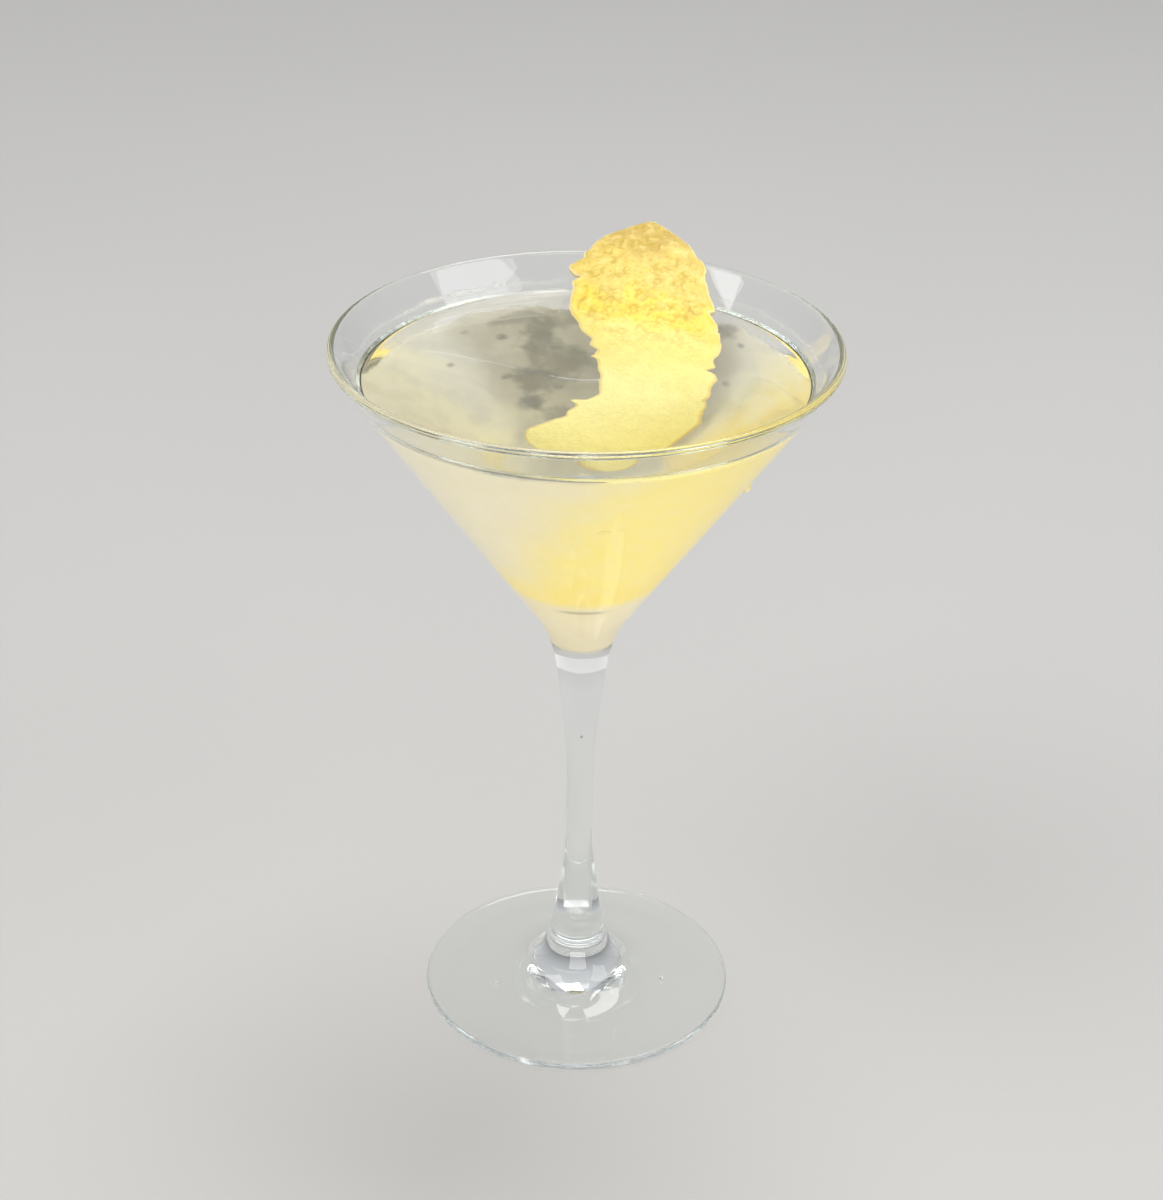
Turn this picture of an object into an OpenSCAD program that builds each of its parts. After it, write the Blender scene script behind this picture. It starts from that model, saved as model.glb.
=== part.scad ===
// Martini cocktail: a stemmed glass with a cone-shaped bowl, the drink in it,
// and a wide strip of lemon peel that stands in the drink and hangs over the rim.
// Millimetres, +Z up. The origin is on the glass's axis, at the height of the table.
// The peel leans towards +Y, and its yellow side faces -Y.

/* [Glass] */
// Outside diameter of the rim
rim_d = 110; // [90:1:135]
// Height from the table to the rim
glass_h = 166; // [135:1:205]
// Half angle of the cone-shaped bowl, measured from its axis
bowl_angle = 34.7; // [30:0.1:40]
// Thickness of the bowl's wall
wall = 1.5; // [1.2:0.1:2.4]
// Diameter of the rounded bead that ends the wall at the rim
bead_d = 1.9; // [1.4:0.1:3]
// Radius of the rounded inside bottom of the bowl
bowl_bottom_r = 20; // [14:0.5:24]

/* [Stem] */
// Diameter of the narrowest stretch of the stem
waist_d = 6.2; // [5:0.1:9]
// Diameter of the stem where it starts to open into the bowl
shoulder_d = 11.2; // [9.5:0.1:14]
// Outside diameter of the bowl where its straight side begins
join_d = 21.6; // [18:0.2:26]
// Height of the curve between the shoulder and the bowl's straight side
shoulder_drop = 14.5; // [10:0.5:18]
// Height of the taper between the narrow stretch and the shoulder
taper_h = 30; // [20:1:36]
// Height above the table at which the stem becomes narrow
waist_z = 42; // [34:1:46]

/* [Foot] */
// Diameter of the foot
foot_d = 72.4; // [60:0.2:90]
// Thickness of the foot at its rounded edge
foot_edge = 1.9; // [1.4:0.1:3]
// Radius at which the foot starts to rise into the stem
flare_r = 14; // [11:0.5:18]
// Height of the foot's upper face at that radius
flare_z = 4.4; // [3.6:0.1:6]
// Diameter of the stem's thick lower end
neck_d = 9.4; // [8:0.1:12]
// Height of that lower end above the table
neck_z = 26; // [18:0.5:30]
// Radius of the shallow hollow under the foot
hollow_r = 31; // [24:0.5:33]
// Depth of the hollow under the foot, at the axis
hollow_depth = 1.4; // [0.6:0.1:2]

/* [Drink] */
// Distance from the rim down to the surface of the drink
fill_gap = 8; // [5:0.5:20]
// Clearance between the drink and the glass
drink_fit = 0.05; // [0.02:0.01:0.1]
// Clearance between the drink and the peel that stands in it
dip_fit = 0.03; // [0.02:0.01:0.1]

/* [Lemon peel] */
// Widest width of the strip
peel_w = 32.6; // [22:0.2:36]
// Thickness of the strip, yellow skin and white pith together
peel_t = 2.2; // [1.6:0.1:3]
// How much narrower the strip's waist is on each side
peel_waist = 4.2; // [0:0.1:6]
// How far the strip's middle line swings sideways between its ends
peel_drift = 11.3; // [0:0.1:12]
// Length of the strip past the rim
peel_over = 5.5; // [3:0.5:12]
// Direction in which the strip leans, turned from +Y towards +X
peel_turn = 13.6; // [-45:0.1:45]
// Slope of the strip where it crosses the rim, above the horizontal
peel_slope = 20; // [10:1:30]
// Radius of the curve across the strip's width
peel_cup_r = 45; // [36:1:90]
// Height of the strip's lower end above the bowl's inside bottom
peel_foot_h = 5.5; // [4:0.5:14]
// Distance from the axis of the strip's lower end, towards the side it leans to
peel_foot_y = 1; // [0:0.1:5]
// Depth of the torn notches along the strip's edges
peel_ragged = 1.1; // [0:0.1:1.6]
// Clearance between the strip and the rim it rests on
rest_gap = 0.3; // [0.2:0.05:0.6]
// Least clearance between the strip's edges and the inside of the bowl
side_gap = 0.5; // [0.4:0.1:2]

/* [Hidden] */
$fn = 96;

// Bowl: heights at which the outside and inside cones would close
rim_r = rim_d / 2;
bead_r = bead_d / 2;
bead_ring_r = rim_r - bead_r;
bead_z = glass_h - bead_r;
side_run = tan(bowl_angle);
half_wall = wall / 2 / cos(bowl_angle);
outer_apex_z = bead_z - (bead_ring_r + half_wall) / side_run;
inner_apex_z = bead_z - (bead_ring_r - half_wall) / side_run;
bottom_ball_z = inner_apex_z + bowl_bottom_r / sin(bowl_angle);
bowl_bottom_z = bottom_ball_z - bowl_bottom_r;

// Stem and foot: heights that follow from the bowl
join_z = outer_apex_z + join_d / 2 / side_run;
shoulder_z = join_z - shoulder_drop;
narrow_top_z = shoulder_z - taper_h;
foot_r = foot_d / 2;
edge_r = foot_edge / 2;

// Points on one curve and around one rounded edge
curve_steps = 10;
edge_steps = 8;
bead_steps = 12;
hollow_steps = 6;
ball_steps = 8;

// Inside radius of the bowl's cone at height z
function inside_r(z) = (z - inner_apex_z) * side_run;

// A station is [radius, height, direction of travel in degrees].
// Points of the smooth curve from station a to station b, without its first point.
function curve(a, b) =
    let (reach = norm([b[0] - a[0], b[1] - a[1]]))
    [for (i = [1 : curve_steps])
        let (
            t = i / curve_steps,
            h_a = 2 * pow(t, 3) - 3 * pow(t, 2) + 1,
            h_b = 1 - h_a,
            g_a = pow(t, 3) - 2 * pow(t, 2) + t,
            g_b = pow(t, 3) - pow(t, 2)
        )
        [
            h_a * a[0] + h_b * b[0] + reach * (g_a * cos(a[2]) + g_b * cos(b[2])),
            h_a * a[1] + h_b * b[1] + reach * (g_a * sin(a[2]) + g_b * sin(b[2]))
        ]];

// Points on an arc about the centre c, from one angle to another
function arc(c, r, from, to, steps) =
    [for (i = [0 : steps])
        let (turn = from + (to - from) * i / steps)
        [c[0] + r * cos(turn), c[1] + r * sin(turn)]];

// Inside of the bowl from the given height down to the axis, as a cone that runs
// into a ball; fit moves it inwards from the glass
function bowl_inside(top_z, fit) =
    let (fit_r = fit / cos(bowl_angle))
    concat(
        [[inside_r(top_z) - fit_r, top_z]],
        arc([0, bottom_ball_z], bowl_bottom_r - fit, -bowl_angle, -90, ball_steps)
    );

// Outline of half the glass, from the axis under the foot, round the outside and
// over the rim, to the axis inside the bowl
function glass_outline() =
    let (
        foot_top = [foot_r - edge_r, foot_edge, 176],
        flare = [flare_r, flare_z, 158],
        neck = [neck_d / 2, neck_z, 98],
        narrow_low = [waist_d / 2, waist_z, 90],
        narrow_top = [waist_d / 2, narrow_top_z, 90],
        shoulder = [shoulder_d / 2, shoulder_z, 83],
        join = [join_d / 2, join_z, 90 - bowl_angle]
    )
    concat(
        [for (i = [0 : hollow_steps])
            let (r = hollow_r * i / hollow_steps)
            [r, hollow_depth * (1 - pow(r / hollow_r, 2))]],
        arc([foot_r - edge_r, edge_r], edge_r, -90, 90, edge_steps),
        curve(foot_top, flare),
        curve(flare, neck),
        curve(neck, narrow_low),
        [[waist_d / 2, narrow_top_z]],
        curve(narrow_top, shoulder),
        curve(shoulder, join),
        arc([bead_ring_r, bead_z], bead_r, -bowl_angle, 180 - bowl_angle, bead_steps),
        bowl_inside(bead_z, 0)
    );

// The glass: foot, stem and bowl in one piece
module glass() {
    color([0.85, 0.88, 0.9, 0.4])
        rotate_extrude()
            polygon(glass_outline());
}

// Lemon peel: its yellow face follows an arc in the upright plane that it leans in,
// from the lower end to the rim and a little past it.
// Points in that plane are [distance towards the lean, height].
peel_rows = 60;
peel_columns = 10;
tip_half_w = 0.8;
top_taper = 21;
top_power = 0.75;
low_taper = 12;
waist_reach = 14;
waist_share = 0.38;
swing_share = 0.88;
swing_power = 0.83;
tip_shift = 0.8;

// Thickness of the strip's edges, as a share of its full thickness
edge_share = 0.6;
function thickness(v) = peel_t * (1 - (1 - edge_share) * pow(abs(v), 4));

// Rounding of the strip's two ends, from 0 at the tip to 1 in the full width
function top_end(to_tip) = pow(sin(90 * min(1, to_tip / top_taper)), top_power);
function low_end_round(s) = sqrt(1 - pow(1 - min(1, s / low_taper), 2));

// How far the yellow face falls away from its middle line at a distance across it
function cup(across) = pow(across, 2) / (2 * peel_cup_r);

// Height of the yellow face over the middle of the bead where it crosses the rim,
// so that no part of the pith under it comes nearer the bead than rest_gap
function width_at_rim(guess) =
    peel_w / 2 * top_end(peel_over + pow(guess, 2) / (2 * bead_ring_r)
        + (edge_share * peel_t + cup(guess)) * tan(peel_slope));
rim_half_w = width_at_rim(width_at_rim(peel_w / 3)) + tip_shift + 2 * peel_ragged;
seat_drop = max([for (v = [0 : 0.1 : 1])
    tan(peel_slope) * pow(v * rim_half_w, 2) / (2 * bead_ring_r)
        + (thickness(v) + cup(v * rim_half_w)) / cos(peel_slope)]);
seat = [bead_ring_r, bead_z + (bead_r + rest_gap) / cos(peel_slope) + seat_drop];

low_end = [peel_foot_y, bowl_bottom_z + peel_foot_h];
span = seat - low_end;
span_angle = atan2(span[1], span[0]);
half_bend = span_angle - peel_slope;
peel_r = norm(span) / (2 * sin(half_bend));
start_bearing = span_angle + half_bend + 90;
peel_centre = low_end - peel_r * [cos(start_bearing), sin(start_bearing)];
turn_per_mm = 180 / (PI * peel_r);
peel_len = 2 * half_bend / turn_per_mm + peel_over;

// Point of that plane at a distance s along the strip and r from the arc's centre
function in_plane(s, r) =
    peel_centre + r * [cos(start_bearing - s * turn_per_mm), sin(start_bearing - s * turn_per_mm)];

// Half width of the strip at a distance s from its lower end, before its notches
function half_width(s) =
    let (narrowing = peel_waist * exp(-pow((s - waist_share * peel_len) / waist_reach, 2)))
    max(tip_half_w, (peel_w / 2 - narrowing) * top_end(peel_len - s) * low_end_round(s));

// Sideways place of the strip's middle line at that distance
function middle(s) =
    let (share = min(1, pow(s / (swing_share * peel_len), swing_power)))
    peel_drift * pow(sin(180 * share), 2) + tip_shift * s / peel_len;

// Torn edge, for side -1 or 1: three waves of unlike length
function ragged(s, side) =
    peel_ragged * (0.5 * sin(31 * s + 150 * side) + 0.35 * sin(53 * s + 40 * side)
        + 0.3 * sin(82 * s - 70 * side));

// Inside radius of the bowl at height z
function bowl_r(z) =
    z > bottom_ball_z - bowl_bottom_r * sin(bowl_angle)
        ? inside_r(z)
        : sqrt(max(0, pow(bowl_bottom_r, 2) - pow(z - bottom_ball_z, 2)));

// Sideways room that the bowl leaves the pith at the edge of the strip's lower half;
// its upper half is held by the rim instead
function room(s) =
    let (p = in_plane(s, peel_r - peel_t - cup(half_width(s) + peel_ragged)))
    s > peel_len / 2 ? rim_r
    : sqrt(max(1, pow(bowl_r(p[1]) - side_gap, 2) - pow(p[0], 2)));

// Distance of the edge from the middle line
function edge(s, side) =
    min(
        half_width(s) + min(1, half_width(s) / peel_w * 4) * ragged(s, side),
        room(s) - side * middle(s)
    );

// A point of the strip: s along it, v from -1 to 1 across it, and depth into it
// from its yellow face, with the edges grown outwards by extra
function peel_point(s, v, depth, extra) =
    let (
        across = v * (edge(s, v < 0 ? -1 : 1) + extra),
        p = in_plane(s, peel_r - cup(across) - depth),
        x = middle(s) + across
    )
    [
        x * cos(peel_turn) + p[0] * sin(peel_turn),
        p[0] * cos(peel_turn) - x * sin(peel_turn),
        p[1]
    ];

// The strip as a closed net of triangles: its yellow face, its pith face and the
// band round its edge. extra grows it on every side.
module strip(extra = 0) {
    row = peel_columns + 1;
    sheet = (peel_rows + 1) * row;
    points = [
        for (face = [0, 1])
            for (i = [0 : peel_rows])
                for (j = [0 : peel_columns])
                    let (
                        share = i / peel_rows,
                        s = -extra + (peel_len + 2 * extra) * share,
                        inner_s = min(peel_len - 0.01, max(0.01, s)),
                        v = 2 * j / peel_columns - 1,
                        depth = face == 0 ? -extra : thickness(v) + extra,
                        past_end = s - inner_s,
                        p = peel_point(inner_s, v, depth, extra),
                        q = peel_point(inner_s + 0.01, v, depth, extra)
                    )
                    p + past_end * (q - p) / max(0.001, norm(q - p))
    ];
    function at(face, i, j) = face * sheet + i * row + j;
    faces = concat(
        [for (i = [0 : peel_rows - 1]) for (j = [0 : peel_columns - 1])
            [at(0, i, j), at(0, i + 1, j), at(0, i + 1, j + 1)]],
        [for (i = [0 : peel_rows - 1]) for (j = [0 : peel_columns - 1])
            [at(0, i, j), at(0, i + 1, j + 1), at(0, i, j + 1)]],
        [for (i = [0 : peel_rows - 1]) for (j = [0 : peel_columns - 1])
            [at(1, i, j), at(1, i + 1, j + 1), at(1, i + 1, j)]],
        [for (i = [0 : peel_rows - 1]) for (j = [0 : peel_columns - 1])
            [at(1, i, j), at(1, i, j + 1), at(1, i + 1, j + 1)]],
        [for (i = [0 : peel_rows - 1])
            [at(0, i, 0), at(1, i, 0), at(1, i + 1, 0)]],
        [for (i = [0 : peel_rows - 1])
            [at(0, i, 0), at(1, i + 1, 0), at(0, i + 1, 0)]],
        [for (i = [0 : peel_rows - 1])
            [at(0, i, peel_columns), at(1, i + 1, peel_columns), at(1, i, peel_columns)]],
        [for (i = [0 : peel_rows - 1])
            [at(0, i, peel_columns), at(0, i + 1, peel_columns), at(1, i + 1, peel_columns)]],
        [for (j = [0 : peel_columns - 1])
            [at(0, 0, j), at(0, 0, j + 1), at(1, 0, j + 1)]],
        [for (j = [0 : peel_columns - 1])
            [at(0, 0, j), at(1, 0, j + 1), at(1, 0, j)]],
        [for (j = [0 : peel_columns - 1])
            [at(0, peel_rows, j), at(1, peel_rows, j + 1), at(0, peel_rows, j + 1)]],
        [for (j = [0 : peel_columns - 1])
            [at(0, peel_rows, j), at(1, peel_rows, j), at(1, peel_rows, j + 1)]]
    );
    polyhedron(points, faces);
}

// The strip of lemon peel
module lemon_peel() {
    color([0.93, 0.8, 0.32])
        strip();
}

// The drink: it fills the bowl to its level, round the peel that stands in it
module drink() {
    color([0.93, 0.89, 0.66, 0.9])
        difference() {
            rotate_extrude()
                polygon(concat([[0, glass_h - fill_gap]], bowl_inside(glass_h - fill_gap, drink_fit)));
            strip(dip_fit);
        }
}

glass();
drink();
lemon_peel();
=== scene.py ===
import math

import bpy
import numpy as np
from mathutils import Matrix, Vector, noise
from mathutils.bvhtree import BVHTree
from mathutils.kdtree import KDTree


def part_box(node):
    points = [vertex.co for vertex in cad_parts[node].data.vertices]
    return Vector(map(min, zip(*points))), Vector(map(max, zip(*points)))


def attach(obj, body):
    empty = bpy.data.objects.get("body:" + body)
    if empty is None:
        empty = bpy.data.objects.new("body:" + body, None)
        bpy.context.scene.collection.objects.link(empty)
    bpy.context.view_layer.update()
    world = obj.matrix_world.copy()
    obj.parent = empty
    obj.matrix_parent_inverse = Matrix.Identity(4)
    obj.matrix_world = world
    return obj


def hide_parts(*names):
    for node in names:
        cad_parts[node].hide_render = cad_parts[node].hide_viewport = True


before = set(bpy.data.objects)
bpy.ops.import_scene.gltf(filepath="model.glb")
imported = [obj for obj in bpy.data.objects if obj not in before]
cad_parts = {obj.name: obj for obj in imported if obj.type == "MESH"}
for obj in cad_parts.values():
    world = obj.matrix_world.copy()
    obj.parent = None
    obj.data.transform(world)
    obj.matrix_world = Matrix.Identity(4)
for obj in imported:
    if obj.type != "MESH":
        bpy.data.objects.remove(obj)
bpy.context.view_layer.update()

MM = 0.001
SEED = 11

# ---------------------------------------------------------------------------
# Sizes of the part, in millimetres: the same named values as the CAD source.
# The overall ones are read from the frame.
# ---------------------------------------------------------------------------
_, glass_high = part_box("glass")
_, drink_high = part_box("drink")

GLASS_H = glass_high.z / MM
RIM_R = glass_high.x / MM
FILL_Z = drink_high.z / MM
BOWL_ANGLE = 34.7
WALL = 1.5
BEAD_R = 0.95
BOTTOM_R = 20.0
WAIST_R, SHOULDER_R, JOIN_R = 3.1, 5.6, 10.8
SHOULDER_DROP, TAPER_H, WAIST_Z = 14.5, 30.0, 42.0
FOOT_R, FOOT_EDGE, HOLLOW_R, HOLLOW_DEPTH = 36.2, 1.9, 31.0, 1.4
FLARE_R, FLARE_Z, NECK_R, NECK_Z = 14.0, 4.4, 4.7, 26.0

SLOPE = math.radians(BOWL_ANGLE)
RUN = math.tan(SLOPE)
BEAD_RING_R = RIM_R - BEAD_R
BEAD_Z = GLASS_H - BEAD_R
HALF_WALL = WALL / 2 / math.cos(SLOPE)
OUTER_APEX = BEAD_Z - (BEAD_RING_R + HALF_WALL) / RUN
INNER_APEX = BEAD_Z - (BEAD_RING_R - HALF_WALL) / RUN
BALL_Z = INNER_APEX + BOTTOM_R / math.sin(SLOPE)
BOTTOM_Z = BALL_Z - BOTTOM_R
JOIN_Z = OUTER_APEX + JOIN_R / RUN
SHOULDER_Z = JOIN_Z - SHOULDER_DROP
NARROW_TOP = SHOULDER_Z - TAPER_H

PEEL_W, PEEL_T, PEEL_WAIST, PEEL_DRIFT = 32.6, 2.2, 4.2, 11.3
PEEL_OVER, PEEL_TURN, PEEL_SLOPE, PEEL_CUP = 5.5, 13.6, 20.0, 45.0
PEEL_FOOT_H, PEEL_FOOT_Y, REST_GAP, SIDE_GAP = 5.5, 1.0, 0.3, 0.5
RAGGED = 1.1
TOP_TAPER, TOP_POWER, LOW_TAPER = 21.0, 0.75, 12.0
WAIST_REACH, WAIST_SHARE, SWING_SHARE, SWING_POWER, TIP_SHIFT = 14.0, 0.38, 0.88, 0.83, 0.8
TIP_HALF_W = 0.8
EDGE_SHARE = 0.6


def smoothstep(a, b, x):
    t = np.clip((np.asarray(x, float) - a) / (b - a), 0.0, 1.0)
    return t * t * (3 - 2 * t)


def bell(x, width):
    return np.exp(-((x / width) ** 2))


def linear(r, g, b):
    """Scene-linear colour of an sRGB colour given as 0 to 255."""
    return tuple(
        c / 12.92 if c <= 0.04045 else ((c + 0.055) / 1.055) ** 2.4
        for c in (r / 255, g / 255, b / 255)
    )


def blend(colour, other, share):
    """Colours of many points, mixed with one other colour by a share for each point."""
    share = share[..., None]
    return colour * (1 - share) + np.asarray(other) * share


def fractal(points, scale, seed, octaves=4):
    """Smooth noise, mostly from -1 to 1, at points in millimetres, with features of about scale."""
    shift = Vector((seed * 17.3, seed * -9.1, seed * 4.7))
    return np.array(
        [noise.fractal(Vector(p) / scale + shift, 1.0, 2.0, octaves) for p in points]
    )


# ---------------------------------------------------------------------------
# Node helpers
# ---------------------------------------------------------------------------
class Nodes:
    """A material's node tree, with short calls for the nodes used here."""

    def __init__(self, name):
        self.material = bpy.data.materials.new(name)
        self.material.use_nodes = True
        self.tree = self.material.node_tree
        self.tree.nodes.clear()
        self.out = self.tree.nodes.new("ShaderNodeOutputMaterial")

    def add(self, kind, **settings):
        node = self.tree.nodes.new(kind)
        for key, value in settings.items():
            setattr(node, key, value)
        return node

    def link(self, a, b):
        self.tree.links.new(a, b)

    def fill(self, socket, value):
        """Sets a socket to a number or a colour, or links it to another node's output."""
        if isinstance(value, tuple):
            socket.default_value = (*value, 1.0) if socket.type == "RGBA" else value
        elif isinstance(value, (int, float)):
            socket.default_value = value
        else:
            self.link(value, socket)

    def coords(self):
        return self.add("ShaderNodeTexCoord").outputs["Object"]

    def attribute(self, name, output="Color"):
        return self.add("ShaderNodeAttribute", attribute_name=name).outputs[output]

    def noise(self, scale, detail, rough, stretch=None):
        """Noise with features of about 1/scale metres."""
        node = self.add("ShaderNodeTexNoise")
        node.inputs["Scale"].default_value = scale
        node.inputs["Detail"].default_value = detail
        node.inputs["Roughness"].default_value = rough
        source = self.coords()
        if stretch:
            mapping = self.add("ShaderNodeMapping")
            mapping.inputs["Scale"].default_value = stretch
            self.link(source, mapping.inputs["Vector"])
            source = mapping.outputs[0]
        self.link(source, node.inputs["Vector"])
        return node.outputs["Fac"]

    def cells(self, scale):
        node = self.add("ShaderNodeTexVoronoi", feature="F1")
        node.inputs["Scale"].default_value = scale
        self.link(self.coords(), node.inputs["Vector"])
        return node.outputs["Distance"]

    def spread(self, value, low, high, to_low=0.0, to_high=1.0):
        """Smooth step of value between low and high, from to_low to to_high."""
        node = self.add("ShaderNodeMapRange", interpolation_type="SMOOTHSTEP")
        self.link(value, node.inputs["Value"])
        ends = (("From Min", low), ("From Max", high), ("To Min", to_low), ("To Max", to_high))
        for key, number in ends:
            node.inputs[key].default_value = number
        return node.outputs["Result"]

    def times(self, value, factor):
        node = self.add("ShaderNodeMath", operation="MULTIPLY")
        self.link(value, node.inputs[0])
        node.inputs[1].default_value = factor
        return node.outputs[0]

    def mix(self, factor, a, b):
        node = self.add("ShaderNodeMix", data_type="RGBA")
        for index, value in ((0, factor), (6, a), (7, b)):
            self.fill(node.inputs[index], value)
        return node.outputs[2]

    def bump(self, height, distance, strength, normal=None):
        node = self.add("ShaderNodeBump")
        node.inputs["Strength"].default_value = strength
        node.inputs["Distance"].default_value = distance
        self.link(height, node.inputs["Height"])
        if normal is not None:
            self.link(normal, node.inputs["Normal"])
        return node.outputs["Normal"]

    def principled(self, **inputs):
        node = self.add("ShaderNodeBsdfPrincipled")
        for key, value in inputs.items():
            self.fill(node.inputs[key.replace("_", " ")], value)
        return node.outputs[0]

    def mix_shader(self, factor, a, b):
        node = self.add("ShaderNodeMixShader")
        self.fill(node.inputs[0], factor)
        self.link(a, node.inputs[1])
        self.link(b, node.inputs[2])
        return node.outputs[0]

    def surface(self, shader):
        self.link(shader, self.out.inputs["Surface"])
        return self.material


def clear_to_lamps(nodes, shader, tint):
    """Lets lamp light and light from matt things straight through a clear shader, so that what
    stands behind it is lit once and without noise."""
    path = nodes.add("ShaderNodeLightPath")
    open_air = nodes.add("ShaderNodeBsdfTransparent")
    open_air.inputs["Color"].default_value = (*tint, 1.0)
    seen = nodes.mix_shader(path.outputs["Is Diffuse Ray"], shader, open_air.outputs[0])
    return nodes.mix_shader(path.outputs["Is Shadow Ray"], seen, open_air.outputs[0])


# ---------------------------------------------------------------------------
# Mesh helpers
# ---------------------------------------------------------------------------
def new_object(name, verts, faces, material):
    """A smooth-shaded object from points in millimetres."""
    mesh = bpy.data.meshes.new(name)
    mesh.from_pydata((np.asarray(verts, float) * MM).tolist(), [], faces)
    mesh.validate()
    mesh.update()
    mesh.polygons.foreach_set("use_smooth", [True] * len(mesh.polygons))
    mesh.materials.append(material)
    obj = bpy.data.objects.new(name, mesh)
    bpy.context.scene.collection.objects.link(obj)
    return obj


def lathe(profile, segments):
    """Points and faces of a profile of (radius, height) turned about Z, with the outside on the
    profile's right-hand side as it is travelled. Points on the axis become one point."""
    verts, faces, rings = [], [], []
    for r, z in profile:
        if r < 1e-6:
            rings.append([len(verts)])
            verts.append((0.0, 0.0, z))
        else:
            start = len(verts)
            for k in range(segments):
                a = 2 * math.pi * k / segments
                verts.append((r * math.cos(a), r * math.sin(a), z))
            rings.append(list(range(start, start + segments)))
    for low, high in zip(rings[:-1], rings[1:]):
        for k in range(segments):
            n = (k + 1) % segments
            if len(low) == 1:
                faces.append((low[0], high[n], high[k]))
            elif len(high) == 1:
                faces.append((low[k], low[n], high[0]))
            else:
                faces.append((low[k], low[n], high[n], high[k]))
    return verts, faces


def set_colours(obj, name, colours):
    """A colour for every point of obj, read by its material."""
    layer = obj.data.color_attributes.new(name, "FLOAT_COLOR", "POINT")
    colours = np.asarray(colours, np.float32)
    if colours.shape[1] == 3:
        colours = np.concatenate([colours, np.ones((len(colours), 1), np.float32)], 1)
    layer.data.foreach_set("color", colours.ravel())


# ---------------------------------------------------------------------------
# Glass: the CAD outline again, with finer curves
# ---------------------------------------------------------------------------
GLASS_SEGMENTS = 224
RING_EASE = 0.15                 # the ring that the foot stands on starts this far past the hollow


def hermite(a, b, steps):
    """Smooth curve between two stations of (radius, height, direction in degrees), without its
    first point."""
    reach = math.hypot(b[0] - a[0], b[1] - a[1])
    points = []
    for i in range(1, steps + 1):
        t = i / steps
        ha = 2 * t**3 - 3 * t**2 + 1
        ga, gb = t**3 - 2 * t**2 + t, t**3 - t**2
        points.append(tuple(
            ha * a[k] + (1 - ha) * b[k]
            + reach * (ga * f(math.radians(a[2])) + gb * f(math.radians(b[2])))
            for k, f in ((0, math.cos), (1, math.sin))
        ))
    return points


def arc(centre, r, start, stop, steps):
    points = []
    for i in range(steps + 1):
        turn = math.radians(start + (stop - start) * i / steps)
        points.append((centre[0] + r * math.cos(turn), centre[1] + r * math.sin(turn)))
    return points


def straight(a, b, steps):
    """Points of a straight stretch, without its two ends."""
    return [tuple(a[k] + (b[k] - a[k]) * i / steps for k in (0, 1)) for i in range(1, steps)]


def outer_profile():
    """Outside of the glass from the foot's edge up to where the cone starts."""
    foot_top = (FOOT_R - FOOT_EDGE / 2, FOOT_EDGE, 176)
    flare = (FLARE_R, FLARE_Z, 158)
    neck = (NECK_R, NECK_Z, 98)
    low = (WAIST_R, WAIST_Z, 90)
    high = (WAIST_R, NARROW_TOP, 90)
    shoulder = (SHOULDER_R, SHOULDER_Z, 83)
    join = (JOIN_R, JOIN_Z, 90 - BOWL_ANGLE)
    points = [foot_top[:2]]
    points += hermite(foot_top, flare, 18) + hermite(flare, neck, 26) + hermite(neck, low, 14)
    points += straight(low, high, 4) + [high[:2]]
    points += hermite(high, shoulder, 20) + hermite(shoulder, join, 22)
    return points


def bowl_ball(fit, steps):
    """Round bottom of the inside, from the cone down to the axis."""
    return arc((0, BALL_Z), BOTTOM_R - fit, -BOWL_ANGLE, -90, steps)


def glass_profile():
    """Whole outline, from the middle of the hollow under the foot to the bottom of the bowl."""
    steps = 14
    hollow = [
        (HOLLOW_R * i / steps, HOLLOW_DEPTH * (1 - (i / steps) ** 2)) for i in range(steps + 1)
    ]
    edge_r = FOOT_R - FOOT_EDGE / 2
    ring = [(HOLLOW_R + RING_EASE, 0.0), (HOLLOW_R + 2.0, 0.0), (edge_r - 0.1, 0.0)]
    edge = arc((edge_r, FOOT_EDGE / 2), FOOT_EDGE / 2, -90, 90, 16)[:-1]
    outside = outer_profile()
    bead = arc((BEAD_RING_R, BEAD_Z), BEAD_R, -BOWL_ANGLE, 180 - BOWL_ANGLE, 28)
    ball = bowl_ball(0, 16)
    inside_top = ((BEAD_Z - INNER_APEX) * RUN, BEAD_Z)
    return (
        hollow + ring + edge + outside + straight(outside[-1], bead[0], 14) + bead
        + straight(inside_top, ball[0], 12) + ball
    )


def glass_material():
    nodes = Nodes("clear_glass")
    # very slight waviness, as blown and pressed glass has
    wave = nodes.bump(nodes.noise(70, 1.5, 0.4), 0.00006, 0.25)
    shader = nodes.principled(
        Base_Color=(0.985, 0.995, 0.99), Roughness=0.0, IOR=1.5, Transmission_Weight=1.0,
        Normal=wave,
    )
    # a little colour gathers where light runs along the wall, as at the edge of a pane
    body = nodes.add("ShaderNodeVolumeAbsorption")
    body.inputs["Color"].default_value = (0.78, 0.815, 0.815, 1.0)
    body.inputs["Density"].default_value = 16.0
    nodes.link(body.outputs[0], nodes.out.inputs["Volume"])
    return nodes.surface(clear_to_lamps(nodes, shader, (0.98, 0.985, 0.98)))


glass_look = glass_material()
glass = new_object("glass_clear", *lathe(glass_profile(), GLASS_SEGMENTS), glass_look)
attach(glass, "root")
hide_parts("glass")


# ---------------------------------------------------------------------------
# Lemon peel: the CAD strip again, with its torn edges, pores and pith
# ---------------------------------------------------------------------------
PEEL_ROWS, PEEL_COLUMNS = 330, 110
END_MARGIN = 0.02                # the grid's first and last rows lie this far inside the strip
END_CROWDING, EDGE_CROWDING = 0.045, 0.86
PORE_STEP, PORE_JITTER = 1.25, 0.95
PORES_FROM, PORES_SPAN = -16, 44

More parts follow.
